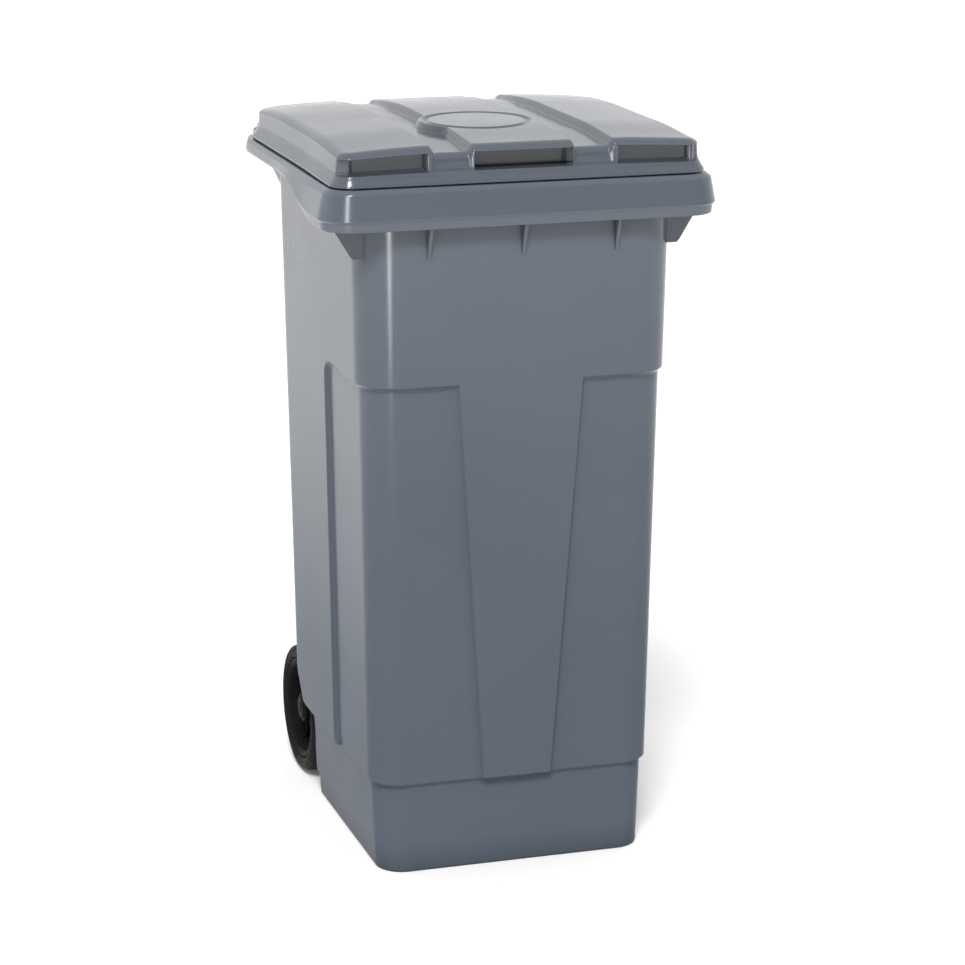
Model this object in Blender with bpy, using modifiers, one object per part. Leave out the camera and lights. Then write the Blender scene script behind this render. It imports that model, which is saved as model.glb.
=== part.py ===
"""Two-wheeled waste container, 240 litre class, as separate moulded, steel and rubber pieces.

Units are metres.  X runs across the bin, -Y is its front, +Y its rear and +Z is up.  The origin is
the middle of the overall box, on the ground.  The lid turns on two pins at the handle, and each
wheel turns on a fixed steel axle.
"""
import math

import bmesh
import bpy
from mathutils import Matrix, Vector

# ---- driving dimensions -------------------------------------------------------------------
WIDTH = 0.580                 # over the collar
DEPTH = 0.680                 # front of the collar to the rear of the handle
HEIGHT = 1.070                # ground to the crown of the lid
GAP = 0.0003                  # running clearance between pieces that touch
WALL = 0.004                  # moulded wall

FRONT = -DEPTH / 2
REAR = DEPTH / 2

# container skin, all heights above the ground
FLOOR = 0.005
BASE_TOP = 0.135              # the plain base band ends in a small step
STEP = 0.002                  # height over which a step in the skin happens
RECESS_TOP = 0.728            # the recessed field below the upper band
RECESS = 0.006                # how far it is set in
LEDGE = 0.985                 # underside of the collar
LIP_FRONT = 0.953             # lower edge of the collar at the front
LIP_REAR = 0.990              # and along the rear half
RIM = 1.0095                  # flat top of the collar
BEAD = 1.0130                 # inner bead that the lid rests over
PANEL_BOTTOM = 0.049          # half width of the proud front panel, at the base step
PANEL_TOP = 0.090             # and from the upper band upwards
SIDE_LINE = -0.088            # where the recessed field ends on the side
EDGE = 0.006                  # width of a moulded step, seen square on

# lid
LID_RIM = 1.0135
LID_FRONT = FRONT + 0.0147
LID_REAR = 0.234
LID_HALF = 0.269
GROOVE_IN = 0.074             # the two grooves between the raised lid panels
GROOVE_OUT = 0.128
GROOVE_DEEP = 0.0105

# hinge and handle
HINGE_Y = REAR - 0.020
HINGE_Z = 0.992
LUG_R = 0.020
PIN_R = 0.005
GRIP_R = 0.014
OUTER_LUG = (0.202, 0.222)
INNER_LUG = (0.128, 0.146)
KNUCKLE = (0.1485, 0.1995)

# running gear
WHEEL_R = 0.100
WHEEL_Y = 0.180
WHEEL_OUT = 0.2075            # outer face of the tyre
TYRE_W = 0.045
TYRE_R_IN = 0.080
AXLE_R = 0.010
AXLE_HALF = 0.1985
BORE_R = 0.0128
HUB_IN = 0.1530               # inner end of the hub
HUB_OUT = 0.1920              # outer end of the hub
WELL_R = WHEEL_R + 0.007
WELL_IN = 0.147
LUG_X = (0.050, 0.128)        # axle lugs, either side

GREY = (0.145, 0.160, 0.180)
BLACK = (0.012, 0.012, 0.014)
STEEL = (0.45, 0.46, 0.47)

ARC = 6                       # segments in a moulded corner


# ---- helpers ------------------------------------------------------------------------------
def clear_scene():
    for item in list(bpy.data.objects):
        bpy.data.objects.remove(item, do_unlink=True)


def collection(name):
    found = bpy.data.collections.new(name)
    bpy.context.scene.collection.children.link(found)
    return found


def material(name, colour, roughness, metallic=0.0):
    made = bpy.data.materials.new(name)
    made.use_nodes = True
    shader = made.node_tree.nodes["Principled BSDF"]
    shader.inputs["Base Color"].default_value = (*colour, 1.0)
    shader.inputs["Roughness"].default_value = roughness
    shader.inputs["Metallic"].default_value = metallic
    return made


def place(name, bm, mat=None, cutter=False):
    """Turn a bmesh into a named object, in the part's collection or the cutters'."""
    bmesh.ops.recalc_face_normals(bm, faces=bm.faces)
    mesh = bpy.data.meshes.new(name)
    bm.to_mesh(mesh)
    bm.free()
    obj = bpy.data.objects.new(name, mesh)
    if cutter:
        CUTTERS.objects.link(obj)
        obj.hide_render = True
        obj.display_type = "WIRE"
    else:
        PARTS.objects.link(obj)
        mesh.materials.append(mat)
    return obj


def boolean(obj, tool, operation):
    mod = obj.modifiers.new(tool.name, "BOOLEAN")
    mod.operation = operation
    mod.solver = "EXACT"
    mod.object = tool


def loft(rings, curved=True):
    """Closed solid through rings of equal length, capped at both ends.

    Faces of a curved loft are not flat, so they are split into triangles.
    """
    bm = bmesh.new()
    rows = [[bm.verts.new(p) for p in ring] for ring in rings]
    count = len(rows[0])
    for low, high in zip(rows, rows[1:]):
        for i in range(count):
            j = (i + 1) % count
            bm.faces.new((low[i], low[j], high[j], high[i]))
    bm.faces.new(list(reversed(rows[0])))
    bm.faces.new(rows[-1])
    if curved:
        bmesh.ops.triangulate(bm, faces=bm.faces)
    return bm


def prism(points, x_low, x_high):
    """A side-view outline of (y, z) points, extruded across the bin."""
    return loft([[(x, y, z) for y, z in points] for x in (x_low, x_high)], curved=False)


def plate(points, y_low, y_high):
    """A front-view outline of (x, z) points, extruded along the bin."""
    return loft([[(x, y, z) for x, z in points] for y in (y_low, y_high)], curved=False)


def rod(radius, x_low, x_high, y, z, segments=32):
    """A round bar along X."""
    bm = bmesh.new()
    turn = Matrix.Rotation(math.pi / 2, 4, "Y")
    shift = Matrix.Translation(((x_low + x_high) / 2, y, z))
    bmesh.ops.create_cone(bm, cap_ends=True, segments=segments, radius1=radius, radius2=radius,
                          depth=x_high - x_low, matrix=shift @ turn)
    return bm


def ordered(side, low, high):
    """The span low..high on one side of the bin, as (smaller x, larger x)."""
    return (low, high) if side > 0 else (-high, -low)


def turned(name, profile, mat, side, y, z, steps=32):
    """A piece turned about an axis along X.

    profile lists (radius, x) from the outer end to the inner end and back up the bore, so that it
    runs down its outer side when the axis stands up.
    """
    bm = bmesh.new()
    verts = [bm.verts.new((radius, 0.0, x)) for radius, x in profile]
    for i in range(len(verts)):
        j = (i + 1) % len(verts)
        on_axis = profile[i][0] == 0.0 and profile[j][0] == 0.0
        if not on_axis:
            bm.edges.new((verts[i], verts[j]))
    mesh = bpy.data.meshes.new(name)
    bm.to_mesh(mesh)
    bm.free()
    obj = bpy.data.objects.new(name, mesh)
    PARTS.objects.link(obj)
    mesh.materials.append(mat)
    screw = obj.modifiers.new("turn", "SCREW")
    screw.axis = "Z"
    screw.steps = steps
    screw.render_steps = steps
    screw.use_merge_vertices = True
    screw.merge_threshold = 0.00005
    obj.rotation_euler = (0.0, side * math.pi / 2, 0.0)
    obj.location = (0.0, y, z)
    mesh.shade_smooth()
    return obj


# ---- outlines of the container and the lid ------------------------------------------------
def lerp(a, b, t):
    return a + (b - a) * t


def smooth(t):
    t = min(max(t, 0.0), 1.0)
    return t * t * (3 - 2 * t)


def panel_half(z):
    """Half width of the tapered front panel at a height."""
    return lerp(PANEL_BOTTOM, PANEL_TOP, min(max((z - BASE_TOP) / (RECESS_TOP - BASE_TOP), 0.0), 1.0))


def outline(half, front, rear, r_front, r_rear, panel=PANEL_TOP):
    """Rounded rectangle, anticlockwise from the middle of the front, with columns at the edges of
    the front panel and of the side field."""
    right = [(0.0, front), (panel, front), (panel + EDGE, front), (half - r_front, front)]
    for i in range(1, ARC + 1):
        a = math.pi / 2 * i / ARC
        right.append((half - r_front + r_front * math.sin(a), front + r_front - r_front * math.cos(a)))
    right += [(half, SIDE_LINE), (half, SIDE_LINE + EDGE), (half, rear - r_rear)]
    for i in range(1, ARC + 1):
        a = math.pi / 2 * i / ARC
        right.append((half - r_rear + r_rear * math.cos(a), rear - r_rear + r_rear * math.sin(a)))
    left = [(-x, y) for x, y in reversed(right[1:])]
    return right + [(0.0, rear)] + left


FIELD_FIRST = 2               # first and last column of the recessed field, on the right half
FIELD_LAST = 4 + ARC


def skin(z):
    """Half width, front, rear and corner radii of the container's proud skin at a height."""
    t = (z - BASE_TOP) / (LEDGE - BASE_TOP)
    return (lerp(0.2178, 0.2330, t), lerp(-0.3080, -0.3180, t), lerp(0.164, 0.186, t),
            lerp(0.052, 0.062, t), lerp(0.042, 0.048, t))


def inset(spec, by):
    half, front, rear, r_front, r_rear = spec
    return (half - by, front + by, rear - by, r_front - by, r_rear - by)


def base(z):
    t = z / BASE_TOP
    return (lerp(0.2008, 0.2065, t), lerp(-0.2955, -0.2975, t), lerp(0.150, 0.158, t),
            lerp(0.040, 0.046, t), lerp(0.036, 0.040, t))


def ring(spec, z, panel=PANEL_TOP):
    return [(x, y, z) for x, y in outline(*spec, panel)]


def field_ring(z, wall=0.0):
    """A ring of the skin with the field between panel and side line set in.

    With a wall thickness it is the inner face of the same skin.
    """
    proud = outline(*inset(skin(z), wall), panel_half(z))
    deep = outline(*inset(skin(z), RECESS + wall), panel_half(z))
    count = len(proud)
    made = []
    for i in range(count):
        column = min(i, count - i)
        point = deep[i] if FIELD_FIRST <= column <= FIELD_LAST else proud[i]
        made.append((*point, z))
    return made


def lip_height(y):
    """The collar's lower edge: deep round the front, shallow along the rear half."""
    return lerp(LIP_FRONT, LIP_REAR, smooth((y + 0.245) / 0.150))


# collar section outside the skin: (outward from the lid line, height above the lip at the front)
COLLAR = (
    (0.0125, None),                                  # underside ledge, at the skirt's inner face
    (0.0110, LIP_FRONT),                             # inner edge of the lip
    (0.0150, LIP_FRONT),                             # outer edge of the lip
    (0.0170, 0.9655),
    (0.0210, 0.9685),                                # lower edge of the collar's face
    (0.0135, 1.0060),                                # upper edge of the collar's face
    (0.0105, RIM),
    (-0.0080, RIM),
    (-0.0080, BEAD),
    (-0.0140, BEAD),
)
COLLAR_FACE_TOP = 1.0060


def collar_spec(out):
    grow = max(out, 0.0) * 0.95
    return (LID_HALF + out, LID_FRONT - 0.0147 / 0.021 * out, LID_REAR + 0.011 / 0.021 * out,
            0.028 + grow, 0.065 + grow)


def collar_outline(out):
    """The collar stands out at the front and tapers back to the lid's line along the sides."""
    full = outline(*collar_spec(out))
    if out < 0.0105:
        return full
    slim = outline(*collar_spec(0.0055 + (out - 0.0110) * 0.25))
    points = []
    for (x, y), (x_slim, y_slim) in zip(full, slim):
        share = smooth((y + 0.20) / 0.22)
        points.append((lerp(x, x_slim, share), lerp(y, y_slim, share)))
    return points


def collar_rings():
    rings = []
    for out, height in COLLAR:
        made = []
        for x, y in collar_outline(out):
            if height is None:
                z = max(LEDGE, lip_height(y) + 0.004)
            elif height <= COLLAR_FACE_TOP:
                share = (height - LIP_FRONT) / (COLLAR_FACE_TOP - LIP_FRONT)
                z = lerp(lip_height(y), COLLAR_FACE_TOP, share)
            else:
                z = height
            made.append((x, y, z))
        rings.append(made)
    return rings


def ledge_ring():
    """Where the skin meets the underside of the collar."""
    return [(x, y, max(LEDGE, lip_height(y) + 0.004)) for x, y in outline(*skin(LEDGE))]


# outline of the opening under the rear, in side view: the container ends short of the axle
ARCH = ((0.057, -0.020), (0.057, 0.030), (0.0765, 0.034), (0.0765, 0.1365), (0.098, 0.1405),
        (0.130, 0.185), (0.146, 0.206), (0.166, 0.2205), (0.400, 0.2225), (0.400, -0.020))
ARCH_INSIDE = ((0.052, -0.020), (0.052, 0.036), (0.0715, 0.040), (0.0715, 0.139), (0.094, 0.144),
               (0.126, 0.188), (0.142, 0.2095), (0.164, 0.2265), (0.400, 0.2285), (0.400, -0.020))


def wheel_well(side, name, radius, inner, outer):
    x_low, x_high = ordered(side, inner, outer)
    return place(name, rod(radius, x_low, x_high, WHEEL_Y, WHEEL_R, 40), cutter=True)


def eye(y, z, radius, start, end, steps=10):
    """Points of an arc in side view, from angle start to angle end in degrees, about (y, z)."""
    angles = [math.radians(lerp(start, end, i / steps)) for i in range(steps + 1)]
    return [(y + radius * math.cos(a), z + radius * math.sin(a)) for a in angles]


# ---- container ----------------------------------------------------------------------------
def container_cavity():
    """The space inside, as a cutter."""
    rings = [ring(inset(base(0.0), WALL), FLOOR), ring(inset(base(BASE_TOP), WALL), BASE_TOP, PANEL_BOTTOM)]
    rings += [field_ring(z, WALL) for z in (BASE_TOP + 0.012, 0.430, RECESS_TOP - WALL)]
    rings += [ring(inset(skin(z), WALL), z) for z in (RECESS_TOP + EDGE, LIP_REAR + 0.0075)]
    rings += [ring(collar_spec(-0.0170), z) for z in (RIM - 0.004, BEAD + 0.020)]
    hollow = place("cut_inside", loft(rings), cutter=True)
    boolean(hollow, place("keep_arch", prism(ARCH_INSIDE, -0.4, 0.4), cutter=True), "DIFFERENCE")
    for side, word in ((-1, "left"), (1, "right")):
        keep = wheel_well(side, "keep_well_" + word, WELL_R + WALL, WELL_IN - WALL, 0.30)
        boolean(hollow, keep, "DIFFERENCE")
    return hollow


def container():
    low = ring(inset(base(0.0), 0.003), 0.0)
    rings = [low, ring(base(0.0), 0.004), ring(base(BASE_TOP), BASE_TOP, PANEL_BOTTOM)]
    rings += [field_ring(z) for z in (BASE_TOP + STEP, 0.430, RECESS_TOP)]
    rings += [ring(skin(RECESS_TOP + EDGE), RECESS_TOP + EDGE), ledge_ring()]
    body = place("container_body", loft(rings + collar_rings()), PLASTIC)
    boolean(body, place("cut_arch", prism(ARCH, -0.4, 0.4), cutter=True), "DIFFERENCE")
    for side, word in ((-1, "left"), (1, "right")):
        boolean(body, wheel_well(side, "cut_well_" + word, WELL_R, WELL_IN, 0.2098), "DIFFERENCE")
    boolean(body, container_cavity(), "DIFFERENCE")
    add_axle_lugs(body)
    add_handle(body)
    add_ribs(body)
    cut_chip_nest(body)
    return body


def add_axle_lugs(body):
    """Four lugs that reach back from the arch and carry the axle."""
    points = [(0.070, 0.045), (0.070, 0.132)]
    points += list(reversed(eye(WHEEL_Y, WHEEL_R, 0.022, -80, 80)))
    for n, x in enumerate((-LUG_X[1], -LUG_X[0], LUG_X[0], LUG_X[1])):
        lug = place(f"add_axle_lug_{n}", prism(points, x - 0.005, x + 0.005), cutter=True)
        boolean(body, lug, "UNION")
    bore = place("cut_axle_bore", rod(AXLE_R + GAP, -0.15, 0.15, WHEEL_Y, WHEEL_R), cutter=True)
    boolean(body, bore, "DIFFERENCE")


def add_handle(body):
    """Brackets behind the collar, the grip between the inner two, and the pin holes."""
    points = [(0.180, 0.935), (0.180, 1.004), (0.262, 1.004)]
    points += list(reversed(eye(HINGE_Y, HINGE_Z, LUG_R, -90, 90)))
    points += [(0.250, 0.958)]
    for side, word in ((-1, "left"), (1, "right")):
        for span, place_word in ((OUTER_LUG, "outer"), (INNER_LUG, "inner")):
            lug = prism(points, *ordered(side, *span))
            boolean(body, place(f"add_{place_word}_lug_{word}", lug, cutter=True), "UNION")
    grip = rod(GRIP_R, -INNER_LUG[0] - 0.004, INNER_LUG[0] + 0.004, HINGE_Y, HINGE_Z)
    boolean(body, place("add_grip", grip, cutter=True), "UNION")
    for side, word in ((-1, "left"), (1, "right")):
        x_low, x_high = ordered(side, INNER_LUG[0] + 0.001, 0.30)
        hole = rod(PIN_R + GAP, x_low, x_high, HINGE_Y, HINGE_Z, 24)
        boolean(body, place("cut_pin_hole_" + word, hole, cutter=True), "DIFFERENCE")


def add_ribs(body):
    """Three ribs under the front of the collar and a gusset at each front corner."""
    wall = skin(LEDGE)[1] + RECESS
    rib = ((wall, 0.908), (wall, 0.990), (FRONT + 0.0065, 0.990), (FRONT + 0.0065, 0.9575),
           (skin(0.93)[1] - 0.001, 0.908))
    for n, x in enumerate((-0.137, 0.0, 0.137)):
        boolean(body, place(f"add_rib_{n}", prism(rib, x - 0.0025, x + 0.0025), cutter=True), "UNION")
    gusset = [(0.222, 0.990), (0.2795, 0.990), (0.2690, 0.9560), (0.2420, 0.9120), (0.2380, 0.9080),
              (0.222, 0.9080)]
    for side, word in ((-1, "left"), (1, "right")):
        points = [(side * x, z) for x, z in gusset]
        boolean(body, place("add_gusset_" + word, plate(points, -0.289, -0.285), cutter=True), "UNION")


CHIP_X = 0.257
CHIP_Y = -0.180
CHIP_R = 0.0150


def cut_chip_nest(body):
    bm = bmesh.new()
    bmesh.ops.create_cone(bm, cap_ends=True, segments=32, radius1=CHIP_R + GAP, radius2=CHIP_R + GAP,
                          depth=0.040, matrix=Matrix.Translation((CHIP_X, CHIP_Y, LEDGE - 0.008)))
    boolean(body, place("cut_chip_nest", bm, cutter=True), "DIFFERENCE")


def chip_nest_plug():
    """The small plug that closes the transponder nest under the collar."""
    bm = bmesh.new()
    top = LEDGE + 0.012 - GAP
    bottom = LEDGE - 0.002
    bmesh.ops.create_cone(bm, cap_ends=True, segments=32, radius1=CHIP_R, radius2=CHIP_R,
                          depth=top - bottom,
                          matrix=Matrix.Translation((CHIP_X, CHIP_Y, (top + bottom) / 2)))
    return place("chip_nest_plug", bm, BLACK_PLASTIC)


# ---- lid ----------------------------------------------------------------------------------
def crown(y):
    """Height of the lid's top along the bin: level in front, falling towards the hinge."""
    front_rise = smooth((y - LID_FRONT) / 0.16)
    return HEIGHT - 0.0065 * (1 - front_rise) - 0.0188 * (max(y, 0.0) / LID_REAR) ** 2


# lid section: (share of the way from rim to crown, inward from the rim line)
LID_SECTION = ((0.0, 0.0), (0.09, 0.0), (0.19, 0.0050), (0.66, 0.0080), (0.86, 0.0125),
               (0.96, 0.0200), (1.0, 0.0400), (1.0, 0.1000), (1.0, 0.1800))


def lid_ring(share, inward, drop=0.0):
    r_front = max(0.028 - inward * 0.1, 0.020)
    spec = (LID_HALF - inward, LID_FRONT + inward, LID_REAR - inward * 1.6, r_front, 0.065)
    if inward > 0.05:
        spec = (LID_HALF - inward, LID_FRONT + inward, LID_REAR - 0.064 - (inward - 0.04), 0.020, 0.020)
    return [(x, y, lerp(LID_RIM, crown(y) - drop, share)) for x, y in lid_outline(spec)]


def lid_outline(spec):
    """Like outline, but its straight columns follow the size of the ring."""
    half, front, rear, r_front, r_rear = spec
    flat = half - r_front
    right = [(0.0, front), (flat / 2, front), (flat, front)]
    for i in range(1, ARC + 1):
        a = math.pi / 2 * i / ARC
        right.append((flat + r_front * math.sin(a), front + r_front - r_front * math.cos(a)))
    for t in (0.2, 0.4, 0.6, 0.8, 1.0):
        right.append((half, lerp(front + r_front, rear - r_rear, t)))
    for i in range(1, ARC + 1):
        a = math.pi / 2 * i / ARC
        right.append((half - r_rear + r_rear * math.cos(a), rear - r_rear + r_rear * math.sin(a)))
    left = [(-x, y) for x, y in reversed(right[1:])]
    return right + [(0.0, rear)] + left


def lid():
    body = place("lid", loft([lid_ring(*row) for row in LID_SECTION]), PLASTIC)
    hollow = [[(x, y, LID_RIM - 0.010) for x, y, z in lid_ring(0.0, WALL)]]
    hollow += [lid_ring(share, inward + WALL, GROOVE_DEEP + WALL)
               for share, inward in ((0.10, 0.0), (0.25, 0.006), (0.90, 0.016), (1.0, 0.040), (1.0, 0.120))]
    pocket_back = LID_FRONT + 0.034
    cavity = place("cut_lid_inside", loft(hollow), cutter=True)
    front_block = plate([(-0.4, 1.0225), (0.4, 1.0225), (0.4, 1.1), (-0.4, 1.1)],
                        FRONT - 0.02, pocket_back + WALL)
    boolean(cavity, place("keep_lid_front", front_block, cutter=True), "DIFFERENCE")
    boolean(body, cavity, "DIFFERENCE")
    stations = [lerp(LID_FRONT - 0.010, LID_REAR + 0.010, i / 12) for i in range(13)]
    groove = [(y, crown(y) - GROOVE_DEEP) for y in stations]
    groove += [(stations[-1], HEIGHT + 0.03), (stations[0], HEIGHT + 0.03)]
    for side, word in ((-1, "left"), (1, "right")):
        cut = prism(groove, *ordered(side, GROOVE_IN, GROOVE_OUT))
        boolean(body, place("cut_groove_" + word, cut, cutter=True), "DIFFERENCE")
        side_pocket = pocket(*ordered(side, 0.137, 0.258), LID_FRONT + 0.028)
        boolean(body, place("cut_pocket_" + word, side_pocket, cutter=True), "DIFFERENCE")
    middle = place("cut_pocket_middle", pocket(-0.069, 0.069, pocket_back), cutter=True)
    boolean(body, middle, "DIFFERENCE")
    add_knuckles(body)
    return body


def pocket(x_low, x_high, back):
    """A grip pocket in the lid's front edge."""
    return prism(((LID_FRONT - 0.02, 1.0290), (back, 1.0290), (back, 1.0555),
                  (LID_FRONT - 0.02, 1.0555)), x_low, x_high)


def add_knuckles(body):
    arm = [(0.205, 1.0148), (0.252, 1.0148), (0.300, 0.9870)]
    arm += [(0.318, 0.9850), (0.3285, 1.0010), (0.300, 1.0200), (0.262, 1.0310), (0.205, 1.0380)]
    for side, word in ((-1, "left"), (1, "right")):
        span = ordered(side, *KNUCKLE)
        boolean(body, place("add_arm_" + word, prism(arm, *span), cutter=True), "UNION")
        knuckle = rod(0.0148, *span, HINGE_Y, HINGE_Z)
        boolean(body, place("add_knuckle_" + word, knuckle, cutter=True), "UNION")
        x_low, x_high = ordered(side, KNUCKLE[0] - 0.01, KNUCKLE[1] + 0.01)
        hole = rod(PIN_R + GAP, x_low, x_high, HINGE_Y, HINGE_Z, 24)
        boolean(body, place("cut_knuckle_" + word, hole, cutter=True), "DIFFERENCE")


# ---- hinge hardware -----------------------------------------------------------------------
def hinge_pin(side, word):
    head = OUTER_LUG[1] + GAP
    tip = INNER_LUG[0] + 0.0015
    profile = [(0.0, head + 0.004), (0.0085, head + 0.004), (0.0085, head), (PIN_R, head),
               (PIN_R, tip + 0.003), (0.0035, tip), (0.0, tip)]
    return turned("hinge_pin_" + word, profile, BLACK_PLASTIC, side, HINGE_Y, HINGE_Z)


def hinge_pin_cap(side, word):
    """A snap cap over the pin's head."""
    seat = OUTER_LUG[1] + GAP
    profile = [(0.0, seat + 0.0075), (0.0090, seat + 0.0075), (0.0120, seat + 0.0050), (0.0120, seat),
               (0.0089, seat), (0.0089, seat + 0.0045), (0.0, seat + 0.0045)]
    return turned("hinge_pin_cap_" + word, profile, PLASTIC, side, HINGE_Y, HINGE_Z)


# ---- running gear -------------------------------------------------------------------------
def tyre(side, word):
    inner = WHEEL_OUT - TYRE_W
    profile = [(TYRE_R_IN + GAP, WHEEL_OUT - 0.004), (TYRE_R_IN + 0.006, WHEEL_OUT),
               (WHEEL_R - 0.010, WHEEL_OUT), (WHEEL_R - 0.003, WHEEL_OUT - 0.004),
               (WHEEL_R, WHEEL_OUT - 0.012), (WHEEL_R, inner + 0.012),
               (WHEEL_R - 0.003, inner + 0.004), (WHEEL_R - 0.010, inner),
               (TYRE_R_IN + 0.006, inner), (TYRE_R_IN + GAP, inner + 0.004)]
    return turned("tyre_" + word, profile, RUBBER, side, WHEEL_Y, WHEEL_R, steps=48)


def wheel_hub(side, word):
    """Rim, dished web and hub barrel in one moulding."""
    profile = [(BORE_R + GAP, HUB_OUT), (0.024, HUB_OUT), (0.026, HUB_OUT - 0.006),
               (0.060, HUB_OUT - 0.012), (0.068, WHEEL_OUT - 0.007), (0.074, WHEEL_OUT - 0.004),
               (TYRE_R_IN, WHEEL_OUT - 0.005), (TYRE_R_IN, WHEEL_OUT - TYRE_W + 0.005),
               (0.074, WHEEL_OUT - TYRE_W + 0.004), (0.068, WHEEL_OUT - TYRE_W + 0.010),
               (0.060, HUB_OUT - 0.020), (0.026, HUB_OUT - 0.014), (0.024, HUB_IN),
               (BORE_R + GAP, HUB_IN)]
    return turned("wheel_hub_" + word, profile, BLACK_PLASTIC, side, WHEEL_Y, WHEEL_R, steps=48)


def wheel_bush(side, word):
    """Plain bearing sleeve pressed into the hub."""
    profile = [(AXLE_R + GAP, HUB_OUT - 0.001), (BORE_R, HUB_OUT - 0.001), (BORE_R, HUB_IN + 0.001),
               (AXLE_R + GAP, HUB_IN + 0.001)]
    return turned("wheel_bush_" + word, profile, NYLON, side, WHEEL_Y, WHEEL_R)


def axle():
    obj = place("axle", rod(AXLE_R, -AXLE_HALF, AXLE_HALF, WHEEL_Y, WHEEL_R), ZINC)
    obj.data.shade_smooth()
    obj.data.set_sharp_from_angle(angle=math.radians(40))
    return obj


def inner_washer(side, word):
    """Thrust washer between the hub and the outer lug."""
    outer = HUB_IN - GAP
    profile = [(AXLE_R + GAP, outer), (0.018, outer), (0.018, outer - 0.002),
               (AXLE_R + GAP, outer - 0.002)]
    return turned("inner_washer_" + word, profile, ZINC, side, WHEEL_Y, WHEEL_R)


def retaining_ring(side, word):
    """Push-on ring that grips the end of the axle and keeps the wheel on."""
    seat = HUB_OUT + GAP
    profile = [(AXLE_R + GAP, seat + 0.0030), (0.0130, seat + 0.0015), (0.0170, seat + 0.0015),
               (0.0170, seat), (AXLE_R + GAP, seat)]
    return turned("retaining_ring_" + word, profile, ZINC, side, WHEEL_Y, WHEEL_R)


def hub_cap(side, word):
    """Cap that clips into the hub's outer end and hides the axle."""
    seat = HUB_OUT + GAP
    profile = [(0.0, seat + 0.0115), (0.0160, seat + 0.0105), (0.0225, seat + 0.0060),
               (0.0235, seat), (0.0185, seat), (0.0180, seat + 0.0060), (0.0140, seat + 0.0085),
               (0.0, seat + 0.0090)]
    return turned("hub_cap_" + word, profile, BLACK_PLASTIC, side, WHEEL_Y, WHEEL_R)


# ---- assembly -----------------------------------------------------------------------------
clear_scene()
PARTS = collection("wheeled_bin")
CUTTERS = collection("cutters")
PLASTIC = material("grey_polyethylene", GREY, 0.42)
BLACK_PLASTIC = material("black_plastic", BLACK, 0.45)
RUBBER = material("tyre_rubber", BLACK, 0.75)
NYLON = material("nylon", (0.70, 0.68, 0.62), 0.50)
ZINC = material("zinc_plated_steel", STEEL, 0.35, 1.0)

container()
lid()
chip_nest_plug()
axle()
for SIDE, WORD in ((-1, "left"), (1, "right")):
    for make in (hinge_pin, hinge_pin_cap, tyre, wheel_hub, wheel_bush, inner_washer,
                 retaining_ring, hub_cap):
        make(SIDE, WORD)
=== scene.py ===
"""Looks of the two-wheeled bin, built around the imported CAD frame.

Units are metres, in the frame's own axes: X across, -Y the front, +Z up.  Every CAD node is
replaced by a detailed piece of the same size that rides on the same body.
"""

import math

import bmesh
import bpy
from mathutils import Matrix, Vector


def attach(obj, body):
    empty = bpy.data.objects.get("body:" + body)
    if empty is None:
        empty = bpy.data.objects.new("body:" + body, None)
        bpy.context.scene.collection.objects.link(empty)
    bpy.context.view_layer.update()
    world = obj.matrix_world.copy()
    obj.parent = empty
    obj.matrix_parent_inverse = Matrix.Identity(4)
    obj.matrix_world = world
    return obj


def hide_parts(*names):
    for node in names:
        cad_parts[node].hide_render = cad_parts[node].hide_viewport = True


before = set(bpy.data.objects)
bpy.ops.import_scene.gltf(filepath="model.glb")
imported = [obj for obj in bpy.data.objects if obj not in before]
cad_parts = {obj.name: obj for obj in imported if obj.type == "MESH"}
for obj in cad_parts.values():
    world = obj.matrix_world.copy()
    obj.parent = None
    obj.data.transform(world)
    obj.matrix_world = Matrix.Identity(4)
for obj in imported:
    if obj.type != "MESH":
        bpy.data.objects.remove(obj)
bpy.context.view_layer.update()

# ---- dimensions, the same as the CAD part's -------------------------------------------------
FRONT = -0.340
WALL = 0.004
GAP = 0.0003
FLOOR = 0.005
BASE_TOP = 0.135
RECESS_TOP = 0.728
RECESS = 0.006
EDGE = 0.0065                 # width of the moulded step round the recessed field
LEDGE = 0.985
LIP_FRONT = 0.953
LIP_REAR = 0.990
FACE_TOP = 1.0045
RIM = 1.0105
BEAD = 1.0130
PANEL_BOTTOM = 0.049
PANEL_TOP = 0.090
SIDE_LINE = -0.088

LID_RIM = 1.0125
LID_FRONT = -0.3253
LID_REAR = 0.234
LID_HALF = 0.269
LID_CORNER = 0.030            # rounding of the lid's rim in front
LID_REAR_CORNER = 0.065       # and at the rear
LID_TOP_IN = 0.026            # the lid's top starts this far inside its rim
GROOVE_IN = 0.074
GROOVE_OUT = 0.128
GROOVE_DEEP = 0.0105
CROWN = 1.070
CROWN_FRONT_FALL = 0.0065     # how much lower the lid's top is at its front edge
CROWN_REAR_FALL = 0.0188      # and at its rear edge

HINGE_Y = 0.320
HINGE_Z = 0.992
PIN_R = 0.005
OUTER_LUG = (0.202, 0.222)
INNER_LUG = (0.128, 0.146)
KNUCKLE = (0.1485, 0.1995)

WHEEL_R = 0.100
WHEEL_Y = 0.180
WHEEL_OUT = 0.2075
TYRE_W = 0.045
TYRE_R_IN = 0.080
AXLE_R = 0.010
AXLE_HALF = 0.1985
BORE_R = 0.0128
HUB_IN = 0.1530
HUB_OUT = 0.1920
WELL_R = 0.107
AXLE_LUGS = (-0.128, -0.050, 0.050, 0.128)
CHIP_X, CHIP_Y = 0.257, -0.180        # the transponder nest under the collar
CHIP_R = 0.0150


# ---- numbers --------------------------------------------------------------------------------
def lerp(a, b, t):
    return a + (b - a) * t


def clamp(t):
    return min(max(t, 0.0), 1.0)


def smooth(t):
    t = clamp(t)
    return t * t * (3 - 2 * t)


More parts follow.
